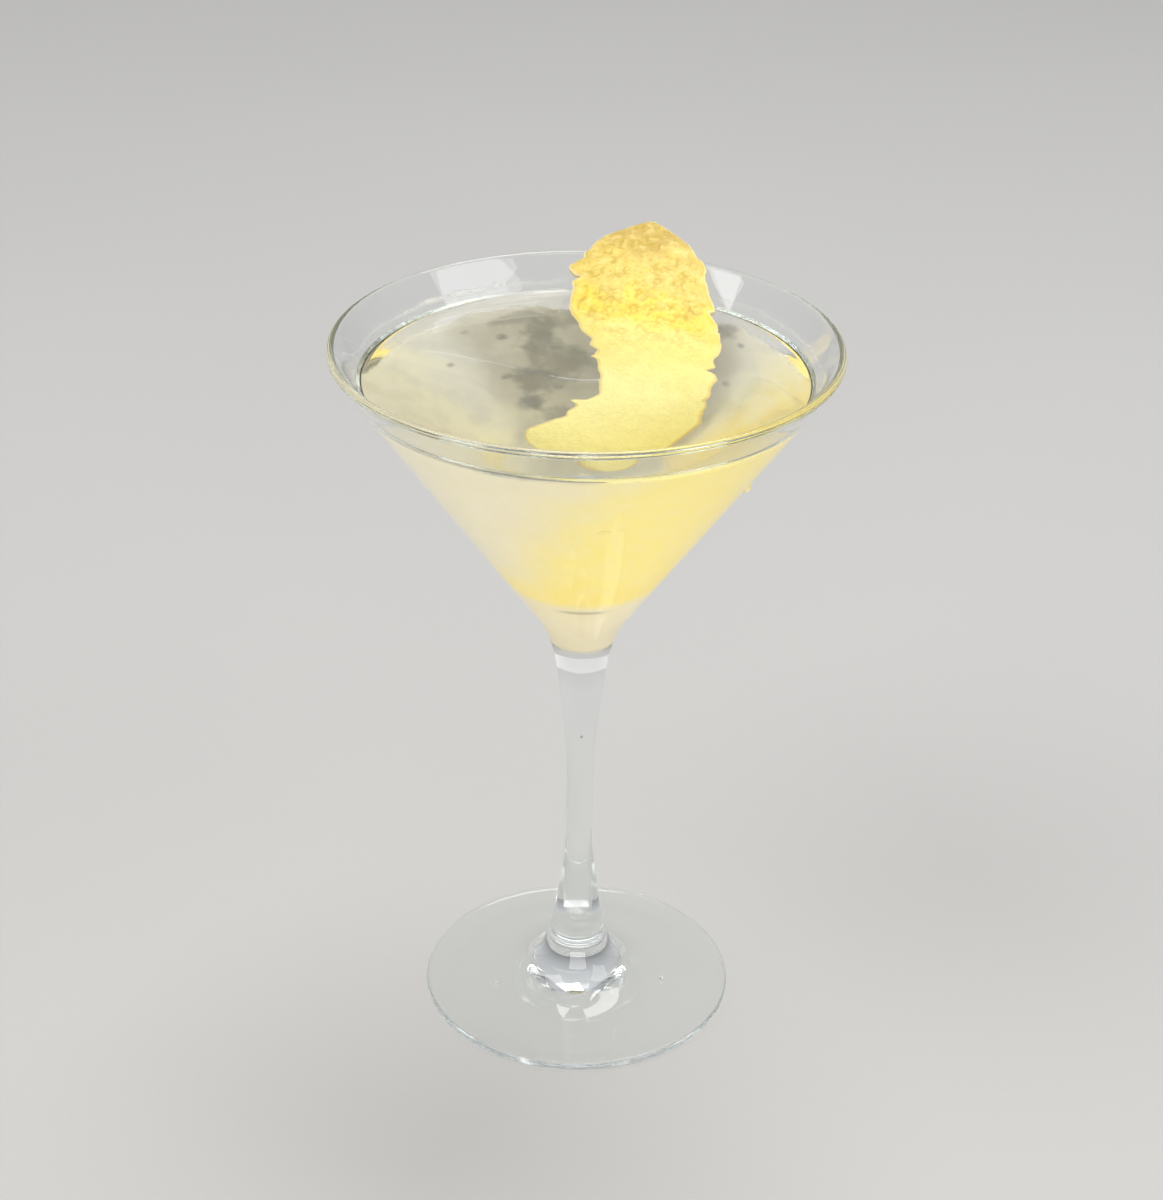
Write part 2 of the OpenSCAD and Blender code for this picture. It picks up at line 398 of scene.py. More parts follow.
# Zest from the dry tip down into the drink, its pores and torn rim, and the white side. The tan at the tip
# is painted shade, where the strip curls away from the light, and the pale tones under the drink are
# painted light.
SHADED_TIP, RICH, STRONG = linear(188, 160, 76), linear(218, 194, 100), linear(230, 206, 82)
PALE, LIT_UNDER_DRINK = linear(236, 220, 130), linear(250, 246, 178)
PORE, LIGHT_PATCH = linear(178, 148, 42), linear(238, 218, 138)
TORN_RIM, PITH = linear(238, 218, 150), linear(236, 224, 184)
# (colour, distance from the lower end where it starts and is full, patchiness in mm)
ZEST_STAGES = ((RICH, 86, 76, 5), (STRONG, 70, 62, 9), (PALE, 62, 54, 5), (LIT_UNDER_DRINK, 50, 28, 4))

# Larger tears and lobes of the two edges: (distance from the lower end, outwards, width)
LEFT_TEARS = (
    (84.5, 2.0, 4.0), (79.6, 0.6, 1.6), (77.9, -0.9, 0.8), (75.6, 1.5, 1.3), (72.2, -2.6, 0.8),
    (69.0, -0.7, 2.2), (62.4, 0.4, 2.6), (57.2, -0.3, 1.6), (51.0, -1.6, 2.0), (46.6, -1.2, 1.1),
    (43.7, 1.3, 0.6), (39.5, 0.9, 2.6), (34.5, 0.6, 2.2), (28.6, -1.4, 2.4), (24.5, 2.6, 0.8),
    (17.4, -1.2, 1.8), (9.5, 2.0, 3.0), (5.0, 2.2, 2.6),
)
RIGHT_TEARS = (
    (84.5, 1.3, 3.0), (79.5, 1.6, 2.6), (72.5, 0.1, 1.5), (67.6, 1.2, 1.6), (66.2, -0.7, 0.5),
    (62.0, 1.2, 2.4), (57.0, 0.8, 2.4), (53.4, 0.5, 1.8), (47.0, -1.3, 2.0), (43.2, -2.1, 0.9),
    (39.6, 0.8, 1.5), (31.0, -0.5, 1.2), (24.0, -0.6, 2.2), (16.0, -0.7, 1.6),
)


def top_end(to_tip):
    return np.sin(np.radians(90 * np.clip(to_tip / TOP_TAPER, 0, 1))) ** TOP_POWER


def low_end(s):
    return np.sqrt(1 - (1 - np.clip(s / LOW_TAPER, 0, 1)) ** 2)


def thickness(v):
    return PEEL_T * (1 - (1 - EDGE_SHARE) * np.abs(v) ** 4)


def cup(across):
    return across**2 / (2 * PEEL_CUP)


class Strip:
    """The strip's arc in the upright plane that it leans in, and its outline. Along the arc, s is
    the distance from the lower end in millimetres."""

    def __init__(self):
        slope = math.radians(PEEL_SLOPE)

        def width_at_rim(guess):
            past = PEEL_OVER + guess**2 / (2 * BEAD_RING_R)
            past += (EDGE_SHARE * PEEL_T + cup(guess)) * math.tan(slope)
            return PEEL_W / 2 * float(top_end(past))

        half = width_at_rim(width_at_rim(PEEL_W / 3)) + TIP_SHIFT + 2 * RAGGED
        v = np.linspace(0, 1, 11)
        drop = np.max(
            math.tan(slope) * (v * half) ** 2 / (2 * BEAD_RING_R)
            + (thickness(v) + cup(v * half)) / math.cos(slope)
        )
        seat = np.array([BEAD_RING_R, BEAD_Z + (BEAD_R + REST_GAP) / math.cos(slope) + drop])
        low = np.array([PEEL_FOOT_Y, BOTTOM_Z + PEEL_FOOT_H])
        span = seat - low
        angle = math.atan2(span[1], span[0])
        bend = angle - slope
        self.r = np.linalg.norm(span) / (2 * math.sin(bend))
        self.start = angle + bend + math.pi / 2
        self.centre = low - self.r * np.array([math.cos(self.start), math.sin(self.start)])
        self.length = 2 * bend * self.r + PEEL_OVER

    def plane(self, s, r):
        """Outwards and up, at s along the arc and r from its centre."""
        turn = self.start - np.asarray(s) / self.r
        return self.centre[0] + r * np.cos(turn), self.centre[1] + r * np.sin(turn)

    def half(self, s):
        narrow = PEEL_WAIST * bell(s - WAIST_SHARE * self.length, WAIST_REACH)
        return np.maximum(
            TIP_HALF_W, (PEEL_W / 2 - narrow) * top_end(self.length - s) * low_end(s)
        )

    def middle(self, s):
        share = np.minimum(1, (s / (SWING_SHARE * self.length)) ** SWING_POWER)
        return PEEL_DRIFT * np.sin(math.pi * share) ** 2 + TIP_SHIFT * s / self.length

    def room(self, s):
        """Half width that the bowl leaves to the strip's lower half. The upper half has no limit."""
        y, z = self.plane(s, self.r - PEEL_T - cup(self.half(s) + RAGGED))
        tangent_z = BALL_Z - BOTTOM_R * math.sin(SLOPE)
        ball = np.sqrt(np.maximum(0, BOTTOM_R**2 - (z - BALL_Z) ** 2))
        inside = np.where(z > tangent_z, (z - INNER_APEX) * RUN, ball)
        limit = np.sqrt(np.maximum(1, (inside - SIDE_GAP) ** 2 - y**2))
        return np.where(s > self.length / 2, RIM_R, limit)


strip = Strip()


def edge_noise(s, side):
    """Torn outline, outwards: the larger tears, then two finer grades of raggedness."""
    tears = LEFT_TEARS if side < 0 else RIGHT_TEARS
    out = sum(h * np.exp(-(((s - at) / w) ** 2)) for at, h, w in tears)
    line = [(float(x), 40.0 * side, 0.0) for x in s]
    return out + 0.4 * fractal(line, 3.4, 3 + side, 3) + 0.22 * fractal(line, 1.0, 7 + side, 2)


def peel_grid():
    """Distance along the strip, share of its width, place across it and distance from its edge,
    for every point of a grid laid over the strip."""
    share = np.linspace(0, 1, PEEL_ROWS + 1)
    # more rows where the two ends round off, more columns towards the edges
    s = strip.length * (share - END_CROWDING * np.sin(2 * math.pi * share) / math.pi)
    s = np.clip(s, END_MARGIN, strip.length - END_MARGIN)
    v = np.sin(np.linspace(-1, 1, PEEL_COLUMNS + 1) * math.pi / 2 * EDGE_CROWDING)
    v /= v[-1]
    half, middle, room = strip.half(s), strip.middle(s), strip.room(s)
    ease = np.minimum(1, half / 6.0)
    edge = {}
    for side in (-1, 1):
        reach = half + ease * edge_noise(s, side)
        edge[side] = np.minimum(reach, room - side * middle)[:, None]
    across = np.where(v[None, :] < 0, v[None, :] * edge[-1], v[None, :] * edge[1])
    along = np.repeat(s[:, None], PEEL_COLUMNS + 1, 1)
    inset = np.minimum(edge[1] - across, across + edge[-1])
    inset = np.minimum(inset, np.minimum(along, strip.length - along))
    return along, np.repeat(v[None, :], PEEL_ROWS + 1, 0), middle[:, None], across, inset


def dimples(flat):
    """Round pores of uneven size, scattered over the strip."""
    rng = np.random.default_rng(SEED)
    pores = []
    for i in range(int(strip.length / PORE_STEP) + 2):
        for j in range(int(PORES_SPAN / PORE_STEP)):
            a = i * PORE_STEP + rng.uniform(-0.5, 0.5) * PORE_STEP * PORE_JITTER
            b = PORES_FROM + j * PORE_STEP + rng.uniform(-0.5, 0.5) * PORE_STEP * PORE_JITTER
            pores.append((a, b, rng.uniform(0.5, 1.0)))
    tree = KDTree(len(pores))
    for k, (a, b, _) in enumerate(pores):
        tree.insert((a, b, 0), k)
    tree.balance()
    pit = np.zeros(len(flat))
    for k, p in enumerate(flat):
        _, index, distance = tree.find((p[0], p[1], 0))
        size = pores[index][2]
        pit[k] = size * math.exp(-((distance / (0.36 * size)) ** 2))
    return pit


def grooves(flat):
    """Short winding grooves: bands along the zero lines of two noises, broken by a third."""
    wide = bell(fractal(flat, 2.7, 23, 2), 0.19)
    broken = smoothstep(-0.25, 0.15, fractal(flat, 3.0, 24, 2))
    narrow = bell(fractal(flat, 2.2, 27, 2), 0.15)
    return np.maximum(wide, 0.7 * narrow) * broken


def sheet_faces():
    """Faces of two sheets of grid points, front then back, and of the edge between them."""
    row = PEEL_COLUMNS + 1
    sheet = (PEEL_ROWS + 1) * row
    faces = []
    for i in range(PEEL_ROWS):
        for j in range(PEEL_COLUMNS):
            a, b = i * row + j, (i + 1) * row + j
            faces.append((a, a + 1, b + 1, b))
            faces.append((sheet + a, sheet + b, sheet + b + 1, sheet + a + 1))
    for i in range(PEEL_ROWS):
        a, b = i * row, (i + 1) * row
        faces.append((a, b, sheet + b, sheet + a))
        a, b = a + PEEL_COLUMNS, b + PEEL_COLUMNS
        faces.append((a, sheet + a, sheet + b, b))
    for j in range(PEEL_COLUMNS):
        a, b = j, j + 1
        faces.append((a, sheet + a, sheet + b, b))
        a, b = PEEL_ROWS * row + j, PEEL_ROWS * row + j + 1
        faces.append((a, b, sheet + b, sheet + a))
    return faces


def peel_mesh():
    along, v, middle, across, inset = peel_grid()
    x = middle + across
    flat = np.stack([along.ravel(), x.ravel(), np.zeros(x.size)], 1)

    # relief of the zest: soft lumps, then pores and grooves that are deepest towards the dry end
    lumps = fractal(flat, 7.0, 21, 3).reshape(x.shape)
    fine = fractal(flat, 2.2, 22, 3).reshape(x.shape)
    pit = np.maximum(0.8 * dimples(flat), grooves(flat)).reshape(x.shape)
    dry = smoothstep(44, 66, along)
    skin = smoothstep(0.6, 2.6, inset)
    front = (
        (0.10 + 0.16 * dry) * lumps + (0.03 + 0.08 * dry) * fine - (0.05 + 0.15 * dry) * pit * skin
        - 0.35 * (1 - smoothstep(0.0, 1.0, inset))
    )
    back = thickness(v) + 0.22 * fractal(flat, 4.0, 31, 4).reshape(x.shape)

    turn = math.radians(PEEL_TURN)
    points = []
    for depth in (-front, back):
        y, z = strip.plane(along, strip.r - cup(across) - depth)
        points.append(np.stack([
            x * math.cos(turn) + y * math.sin(turn), y * math.cos(turn) - x * math.sin(turn), z,
        ], -1).reshape(-1, 3))

    # colour: tan at the dry tip, a painted shade where the strip curls away from the light, strongest
    # yellow above the drink, pale below it as painted light, then dark pores, lighter patches between them
    # and the cream of the torn rim
    colour = np.broadcast_to(SHADED_TIP, (*x.shape, 3))
    for tone, start, full, patchy in ZEST_STAGES:
        colour = blend(colour, tone, smoothstep(start, full, along + patchy * lumps))
    colour = blend(colour, PORE, np.clip(0.62 * pit * (0.14 + dry), 0, 1) * skin)
    colour = blend(colour, LIGHT_PATCH, 0.4 * smoothstep(0.0, 0.7, fine) * dry)
    rim_w = np.maximum(0.25, 0.6 + 0.6 * (fine + 0.4))
    colour = blend(colour, TORN_RIM, 1 - smoothstep(0.15, 1.0, inset / rim_w))
    colours = np.concatenate([colour.reshape(-1, 3), np.tile(PITH, (x.size, 1))])
    return np.concatenate(points), sheet_faces(), colours


def peel_material():
    nodes = Nodes("lemon_peel")
    base = nodes.attribute("peel_colour")
    specks = nodes.spread(nodes.noise(1500, 4, 0.65), 0.42, 0.66)
    mottled = nodes.mix(nodes.times(specks, 0.1), base, linear(196, 156, 56))
    light = nodes.spread(nodes.noise(420, 3, 0.6), 0.5, 0.75)
    colour = nodes.mix(nodes.times(light, 0.14), mottled, linear(240, 228, 178))
    pits = nodes.bump(nodes.cells(1300), 0.00016, 0.5)
    grain = nodes.bump(nodes.noise(2600, 3, 0.6), 0.00008, 0.5, pits)
    rough = nodes.spread(nodes.noise(900, 2, 0.5), 0.3, 0.7, 0.42, 0.6)
    return nodes.surface(nodes.principled(
        Base_Color=colour, Roughness=rough, Normal=grain, Specular_IOR_Level=0.45,
        Subsurface_Weight=0.18, Subsurface_Radius=(1.0, 0.7, 0.25), Subsurface_Scale=0.0015,
    ))


peel_points, peel_faces, peel_colours = peel_mesh()
peel = new_object("lemon_strip", peel_points, peel_faces, peel_material())
set_colours(peel, "peel_colour", peel_colours)
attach(peel, "root")
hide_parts("lemon_peel")

peel_tree = BVHTree.FromPolygons([tuple(p) for p in peel_points], peel_faces)


# ---------------------------------------------------------------------------
# Drink: clear, pale yellow; its surface creeps up the glass and the peel, and its side
# reaches just into the wall so that no air shows between them
# ---------------------------------------------------------------------------
INTO_WALL = 0.15
CREEP_H, CREEP_REACH = 0.7, 0.9
PEEL_CREEP_H, PEEL_CREEP_REACH = 0.9, 1.0
DRINK_SEGMENTS = 256


def drink_radius(z):
    return (z - INNER_APEX) * RUN + INTO_WALL / math.cos(SLOPE)


def drink_mesh():
    top_r = drink_radius(FILL_Z + CREEP_H)
    # even rings over the middle of the surface, then rings that close up towards its edge
    radii = [top_r * i / 44 for i in range(0, 41)]
    last = radii[-1]
    radii += [last + (top_r - last) * (i / 26) ** 0.75 for i in range(1, 27)]
    surface = []
    for r in radii:
        gap = max(0.0, (top_r - INTO_WALL) - r)
        surface.append((r, FILL_Z + CREEP_H * math.exp(-gap / CREEP_REACH)))
    surface[-1] = (drink_radius(surface[-1][1]), surface[-1][1])
    ball = bowl_ball(-INTO_WALL, 18)
    side = straight(surface[-1], ball[0], 24) + ball
    # from the bottom up the side and in over the surface
    verts, faces = lathe(side[::-1] + surface[::-1], DRINK_SEGMENTS)
    verts = np.array(verts)
    # the surface creeps up the peel too
    on_top = (verts[:, 2] > FILL_Z - 0.01) & (np.hypot(verts[:, 0], verts[:, 1]) < top_r - 1.0)
    near = np.array([peel_tree.find_nearest(Vector(p))[3] for p in verts[on_top]])
    verts[on_top, 2] += PEEL_CREEP_H * np.exp(-near / PEEL_CREEP_REACH)
    return verts, faces


def drink_material():
    nodes = Nodes("pale_drink")
    ripple = nodes.bump(nodes.noise(55, 2, 0.5), 0.0002, 0.12)
    shader = nodes.principled(
        Base_Color=(1.0, 0.994, 0.955), Roughness=0.0, IOR=1.345, Transmission_Weight=1.0,
        Normal=ripple,
    )
    return nodes.surface(clear_to_lamps(nodes, shader, (1.0, 0.995, 0.97)))


drink = new_object("drink_liquid", *drink_mesh(), drink_material())
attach(drink, "root")
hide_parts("drink")


# ---------------------------------------------------------------------------
# Mist on the cold bowl: a skin just under the outer face of the glass, from the drink's level
# down to the shoulder. It is darker, with painted shade, where it has run together, and has a painted
# yellow glow of light in the drink on the +X side of the front
# ---------------------------------------------------------------------------
MIST_INSET = 0.12
MIST_LOW = 94.5
MIST_SEGMENTS = 360

# Places where the mist has run together or been wiped, drawn as darker mist whose dark colour is painted
# shade,
# most of it left of the peel: (bearing, height, half width along the glass in mm, half height in mm, how
# dark)
THIN_SHADE_PLACES = (
    (-16, 141, 6.5, 9.0, 0.7), (-24, 128, 6.5, 6.5, 0.66), (-31, 121.5, 4.5, 3.5, 0.7),
    (-9, 133, 6.5, 7.5, 0.5), (-4, 146, 7.5, 4.0, 0.45), (-22, 149, 9.0, 3.0, 0.5),
    (-29, 143.4, 1.5, 1.3, 0.75), (-35, 130.4, 1.8, 1.2, 0.6), (-54, 140.0, 1.2, 0.8, 0.55),
    (-40, 148.0, 1.1, 0.9, 0.4), (-20.5, 136, 1.6, 9.0, 0.4), (52, 149, 1.0, 0.9, 0.5),
    (61, 137, 1.4, 1.0, 0.35), (44, 152, 4.0, 4.0, 0.5), (-12, 116, 6.0, 4.0, 0.45),
)
SPOT = 2                         # half width in mm under which a place is a spot with a firm edge

# Bright folds in the mist, with a painted highlight along them: (bearing, height) of the two ends, half
# width in mm, how bright
FOLDS = (
    ((-96, 151), (-70, 136), 0.8, 0.8), ((-84, 147), (-66, 138), 0.5, 0.6),
    ((-98, 146), (-78, 131), 0.9, 0.6), ((60, 140), (86, 148), 0.9, 0.9),
    ((66, 134), (92, 144), 0.7, 0.7), ((54, 146), (70, 149), 0.6, 0.6),
    ((-60, 118), (-85, 127), 0.8, 0.5), ((74, 152), (92, 150), 1.1, 0.7),
)
FOLD_BOW = 2.2
FOLD_LEAN = 0.82                 # heights are divided by this to run along the leaning wall

# The front's yellow and deep yellow are painted light: a glow as if the drink were lit from the +X side.
FRONT_BEIGE, FRONT_GLOW_YELLOW, FRONT_GLOW_DEEP = linear(240, 230, 200), linear(255, 236, 142), linear(255, 228, 116)
SHOULDER_TONE, SHOULDER_LINE = linear(242, 230, 198), linear(90, 84, 60)
# The duller rear tone is painted shade, left of and behind the peel.
REAR_GREY, REAR_SHADE_TONE, REAR_CREAM = linear(238, 236, 228), linear(190, 187, 176), linear(255, 251, 224)
# The fold tone is a painted highlight, and the dark tone of the thin places is painted shade.
REAR_WARM, FOLD_HIGHLIGHT_TONE, PAINTED_SHADE_TONE = linear(222, 220, 206), linear(255, 250, 232), linear(92, 92, 84)


def bearing(x, y):
    """Degrees from +Y, positive towards +X."""
    return np.degrees(np.arctan2(x, y))


def around(a, b):
    """Difference of two bearings, from -180 to 180."""
    return (a - b + 180) % 360 - 180


def mist_mesh():
    outer = outer_profile()
    cone_top = ((FILL_Z + 0.8 - OUTER_APEX) * RUN, FILL_Z + 0.8)
    outer += straight(outer[-1], cone_top, 90) + [cone_top]
    outer = [p for p in outer if p[1] > MIST_LOW - 3 and p[0] > WAIST_R]
    line = []
    for i, p in enumerate(outer):
        a, b = outer[max(0, i - 1)], outer[min(len(outer) - 1, i + 1)]
        t = np.array([b[0] - a[0], b[1] - a[1]])
        t /= np.linalg.norm(t)
        line.append((p[0] - t[1] * MIST_INSET, p[1] + t[0] * MIST_INSET))
    return lathe(line, MIST_SEGMENTS)


def mist_amount(phi, z, soft):
    """Mist reaches up to the drink's level, and less high at the back."""
    top_rear = smoothstep(96, 78, np.abs(phi))
    top = FILL_Z - 0.5 + 0.35 * soft
    back_top = (
        FILL_Z - 4.6 + 1.2 * soft + 2.6 * smoothstep(30, 44, phi) - 2.0 * smoothstep(-20, -6, phi)
    )
    top = top * (1 - top_rear) + back_top * top_rear
    low = smoothstep(MIST_LOW - 0.8, MIST_LOW + 0.8, z + 0.4 * soft)
    return smoothstep(0.0, 0.9, top - z) * low


# Dark patches of the mist: painted shade.
def mist_thin_shade(phi, r, z, soft, fine):
    thin = np.zeros(len(phi))
    for at, height, wide, tall, dark in THIN_SHADE_PLACES:
        across = np.radians(around(phi, at)) * r / wide
        up = (z - height) / (tall * math.cos(SLOPE))
        core, ragged, grainy = (0.6, 0.1, 0.1) if wide < SPOT else (0.45, 0.55, 0.4)
        d = np.hypot(across, up) + ragged * soft + grainy * fine
        thin = np.maximum(thin, dark * (1 - smoothstep(core, 1.2, d)))
    return thin


def mist_fold_highlights(phi, r, z, soft):
    folds = np.zeros(len(phi))
    for (a0, z0), (a1, z1), wide, gain in FOLDS:
        along = np.clip(around(phi, a0) / (a1 - a0), 0, 1)
        bow = FOLD_BOW * np.sin(math.pi * along)
        over = np.abs(around(phi, a0) / (a1 - a0) - along) * np.radians(abs(a1 - a0)) * r
        off = np.hypot((z - (z0 + (z1 - z0) * along) - bow) / FOLD_LEAN + 0.5 * soft, over)
        share = gain * np.sin(math.pi * np.clip(along, 0.04, 0.96)) ** 0.5
        folds = np.maximum(folds, share * bell(off, wide))
    return folds


def front_colour(phi, z, soft):
    """Front half: beige on the -X side, and a painted yellow glow of light in the drink on the +X side and
    towards the bottom.
    """
    lean = around(phi, 180)          # negative on the +X side, positive on the -X side
    side = np.abs(lean)
    # painted light: a yellow glow, as if the drink were lit from the +X side, and low down
    painted_glow = smoothstep(36, -8, lean - 0.95 * (150 - z) + 14 + 4 * soft)
    painted_low_glow = smoothstep(128, 116, z + 2 * soft + 0.05 * np.maximum(lean, 0)) * 0.9
    painted_glow = np.maximum(painted_glow, painted_low_glow) * smoothstep(109.5, 113.5, z + 1.6 * soft + 0.03 * side)
    deeper_glow = smoothstep(-30, -70, lean) * 0.7 + 0.35 * smoothstep(126, 114, z)
    colour = blend(np.tile(FRONT_BEIGE, (len(z), 1)), FRONT_GLOW_YELLOW, painted_glow)
    colour = blend(colour, FRONT_GLOW_DEEP, deeper_glow * painted_glow)
    colour = blend(colour, SHOULDER_TONE, 1 - smoothstep(109, 113.5, z))
    # thin dark line below the yellow, strongest at the front
    line = 0.5 * bell(z - 109.6 - 0.35 * soft, 0.45) * smoothstep(26, 8, side)
    return blend(colour, SHOULDER_LINE, line)


def rear_colour(phi, z, soft):
    """Rear half, seen from above through the drink: grey, duller left of and behind the peel as painted
    shade, cream at the two sides.
    """
    sides = np.maximum(smoothstep(-52, -80, phi + 6 * soft), smoothstep(52, 80, phi - 6 * soft))
    sides = np.maximum(sides, 0.85 * smoothstep(132, 114, z + 3 * soft))
    # painted shade: duller grey left of and behind the peel
    middle = smoothstep(-56, -34, phi + 5 * soft) * smoothstep(40, 20, phi)
    colour = blend(np.tile(REAR_GREY, (len(z), 1)), REAR_SHADE_TONE, middle)
    colour = blend(colour, REAR_CREAM, sides)
    return blend(colour, REAR_WARM, 0.35 * smoothstep(-0.1, 0.6, soft))


def mist_look(points):
    """Colour and amount of the mist at points of the skin."""
    x, y, z = points[:, 0], points[:, 1], points[:, 2]
    phi = bearing(x, y)
    r = np.hypot(x, y)
    soft = fractal(points, 9.0, 41, 4)
    fine = fractal(points, 2.6, 42, 4)
    thin = mist_thin_shade(phi, r, z, soft, fine)
    rear = smoothstep(118, 62, np.abs(phi) + 9 * soft)[:, None]
    colour = front_colour(phi, z, soft) * (1 - rear) + rear_colour(phi, z, soft) * rear
    # bright folds: ridges of the mist with a painted highlight along them
    colour = blend(colour, FOLD_HIGHLIGHT_TONE, 0.7 * mist_fold_highlights(phi, r, z, soft))
    # painted shade: dark patches where the mist has run together or been wiped
    colour = blend(colour, PAINTED_SHADE_TONE, 0.95 * thin)
    amount = mist_amount(phi, z, soft) * (1.0 - 0.12 * thin)
    return np.concatenate([colour, amount[:, None]], 1)


def mist_material():
    nodes = Nodes("mist")
    colour = nodes.attribute("mist_colour")
    amount = nodes.attribute("mist_colour", "Alpha")
    streak = nodes.spread(nodes.noise(260, 3, 0.55, stretch=(1.0, 1.0, 0.45)), 0.35, 0.7)
    uneven = nodes.mix(nodes.times(streak, 0.1), colour, (1.0, 0.98, 0.93))
    beads = nodes.bump(nodes.noise(1800, 3, 0.6), 0.00012, 0.5)
    solid = nodes.principled(
        Base_Color=uneven, Roughness=0.55, Specular_IOR_Level=0.2, Normal=beads
    )
    through = nodes.add("ShaderNodeBsdfTranslucent")
    nodes.link(uneven, through.inputs["Color"])
    lit = nodes.mix_shader(0.5, solid, through.outputs[0])
    air = nodes.add("ShaderNodeBsdfTransparent")
    return nodes.surface(nodes.mix_shader(amount, air.outputs[0], lit))


mist_points, mist_faces = mist_mesh()
mist_skin_look = mist_material()
mist = new_object("bowl_mist", mist_points, mist_faces, mist_skin_look)
set_colours(mist, "mist_colour", mist_look(np.array(mist_points)))
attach(mist, "root")


# ---------------------------------------------------------------------------
# Small things: the washed line above the drink, water drops, a bubble in the stem
# ---------------------------------------------------------------------------
WASH_FROM, WASH_TO, WASH_FADE = -96, 100, 12      # bearings of its ends, and how it fades there
WASH_INSET = 0.04


def wash_line():
    """A thin film that the drink has left on the rear of the inner wall."""
    angles = np.linspace(WASH_FROM, WASH_TO, 393)
    rows = np.linspace(0, 1, 13)
    ripple = fractal([(float(a), 0.0, 0.0) for a in angles], 14.0, 51, 4)
    verts, looks = [], []
    for k, a in enumerate(angles):
        low, high = FILL_Z + CREEP_H + 0.1, FILL_Z + 2.9 + 0.7 * ripple[k]
        # strongest at the rear left, faint elsewhere
        share = 0.2 + 0.75 * bell(a + 40, 20) + 0.3 * bell(a - 72, 14)
        for t in rows:
            z = low + (high - low) * t
            r = (z - INNER_APEX) * RUN - WASH_INSET
            verts.append((r * math.sin(math.radians(a)), r * math.cos(math.radians(a)), z))
            looks.append(share * bell(t - 0.72, 0.2) + 0.12 * share * (1 - t))
    patchy = 0.75 + 0.6 * fractal(verts, 2.4, 52, 3)
    place = np.repeat(angles, len(rows))
    fade = (
        smoothstep(WASH_FROM, WASH_FROM + WASH_FADE, place)
        * smoothstep(WASH_TO, WASH_TO - WASH_FADE, place)
    )
    looks = np.clip(np.array(looks) * patchy * fade, 0, 0.85)
    n = len(rows)
    faces = [
        (k * n + j, k * n + j + 1, (k + 1) * n + j + 1, (k + 1) * n + j)
        for k in range(len(angles) - 1) for j in range(n - 1)
    ]
    obj = new_object("wash_line", verts, faces, mist_skin_look)
    white = np.tile(linear(236, 234, 228), (len(verts), 1))
    set_colours(obj, "mist_colour", np.concatenate([white, looks[:, None]], 1))
    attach(obj, "root")


def blob(name, centre, normal, up_hint, half, material, seed, flat_share):
    """A drop lying on a face: an uneven ellipsoid with half sizes (across, along, out), in mm.
    Under the face it reaches only flat_share as far."""
    out_dir = Vector(normal).normalized()
    across = Vector(up_hint).cross(out_dir).normalized()
    along = out_dir.cross(across)
    ball, faces = lathe(arc((0, 0), 1, -90, 90, 14), 28)
    uneven = fractal([(3 * a, 3 * b, 3 * c) for a, b, c in ball], 4.0, seed, 2)
    points = []
    for (a, b, c), u in zip(ball, uneven):
        c = c if c > 0 else c * flat_share
        grow = 1 + 0.22 * u
        points.append(tuple(
            Vector(centre) + across * (a * half[0] * grow) + along * (b * half[1] * grow)
            + out_dir * (c * half[2])
        ))
    obj = new_object(name, points, faces, material)
    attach(obj, "root")
    return obj


def water_material():
    nodes = Nodes("water")
    rough = nodes.spread(nodes.noise(900, 2, 0.5), 0.4, 0.8, 0.0, 0.03)
    shader = nodes.principled(
        Base_Color=(0.99, 1.0, 1.0), Roughness=rough, IOR=1.33, Transmission_Weight=1.0
    )
    return nodes.surface(clear_to_lamps(nodes, shader, (0.97, 0.98, 0.98)))


def on_bowl(phi, z):
    """Place and outward normal on the outside of the bowl."""
    side = Vector((math.sin(math.radians(phi)), math.cos(math.radians(phi)), 0))
    up = Vector((0, 0, 1))
    return side * ((z - OUTER_APEX) * RUN) + up * z, side * math.cos(SLOPE) - up * math.sin(SLOPE)


# Drops on the foot: (x, y, half size)
FOOT_DROPS = ((-19.1, -6.5, 0.8), (20.5, -3.9, 0.7), (9.0, -24.0, 0.45))
# Drops on the bowl: (bearing, height, half sizes across, along and out)
BOWL_DROPS = (
    (173.7, 139.9, 1.3, 0.8, 0.34), (116.0, 140.5, 0.8, 1.2, 0.8), (168.5, 140.6, 0.6, 0.45, 0.2),
)

wash_line()
water = water_material()
glass_tree = BVHTree.FromPolygons(
    [tuple(Vector(v.co) / MM) for v in glass.data.vertices],
    [tuple(f.vertices) for f in glass.data.polygons],
)
for k, (x, y, size) in enumerate(FOOT_DROPS):
    spot, normal, _, _ = glass_tree.ray_cast(Vector((x, y, 12.0)), Vector((0, 0, -1)))
    half = (size, size * 0.9, size * 0.42)
    blob(f"foot_drop_{k}", spot, normal, (0, 1, 0), half, water, 60 + k, 0.35)
for k, (phi, z, *half) in enumerate(BOWL_DROPS):
    spot, normal = on_bowl(phi, z)
    blob(f"bowl_drop_{k}", spot, normal, (0, 0, 1), half, water, 70 + k, 0.12)

bubble = blob(
    "stem_bubble", (0.15, -0.4, 69.3), (0, -1, 0), (0, 0, 1), (0.2, 0.34, 0.2), glass_look, 80, 1.0
)
bubble.data.flip_normals()


# ---------------------------------------------------------------------------
# Stage: plain pale floor, soft lamps, camera
# ---------------------------------------------------------------------------
FLOOR_RINGS = (0.0, 300, 1200, 5000)
FLOOR_DROP = 0.00002             # metres under the foot, so that the two faces don't coincide
LAMP_TARGET = Vector((0, 0, 0.1))


def floor_material():
    nodes = Nodes("stage_floor")
    tone = nodes.mix(nodes.noise(3, 2, 0.5), linear(180, 179, 177), linear(186, 185, 183))
    return nodes.surface(nodes.principled(
        Base_Color=tone, Roughness=0.75, Specular_IOR_Level=0.25
    ))


